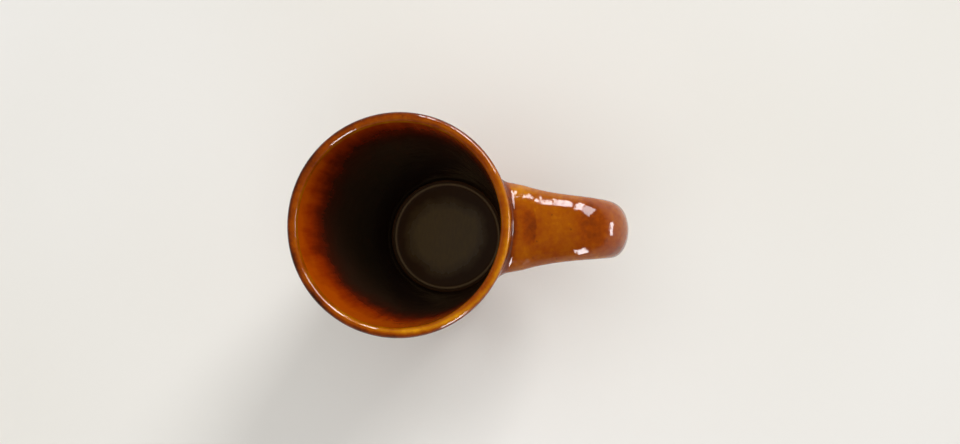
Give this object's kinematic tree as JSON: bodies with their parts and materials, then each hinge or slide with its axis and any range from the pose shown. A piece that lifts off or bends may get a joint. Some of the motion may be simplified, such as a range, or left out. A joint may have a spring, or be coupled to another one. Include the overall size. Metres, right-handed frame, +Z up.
{
  "type": "stoneware mug",
  "caption": "Tapered stoneware mug with a wide strap handle, honey glaze outside and over the lip, and a dark liner glaze inside.",
  "frame": {"origin": "centre of the foot ring, on the surface that the mug stands on", "axes": "+Z up along the cup's axis, +X from the axis towards the handle"},
  "size_m": [0.1248, 0.0818, 0.101],
  "materials": {
    "bare_stoneware": "unglazed buff stoneware, fine and matt",
    "liner_glaze": "dark brown liner glaze, glossy, worn matt on the floor",
    "honey_glaze": "glossy translucent honey brown glaze, lighter where it runs thin"
  },
  "bodies": {
    "root": {"cup_body": "bare_stoneware", "handle": "bare_stoneware", "upper_luting": "bare_stoneware", "lower_luting": "bare_stoneware", "inside_glaze": "liner_glaze", "outside_glaze": "honey_glaze"}
  },
  "joints": []
}
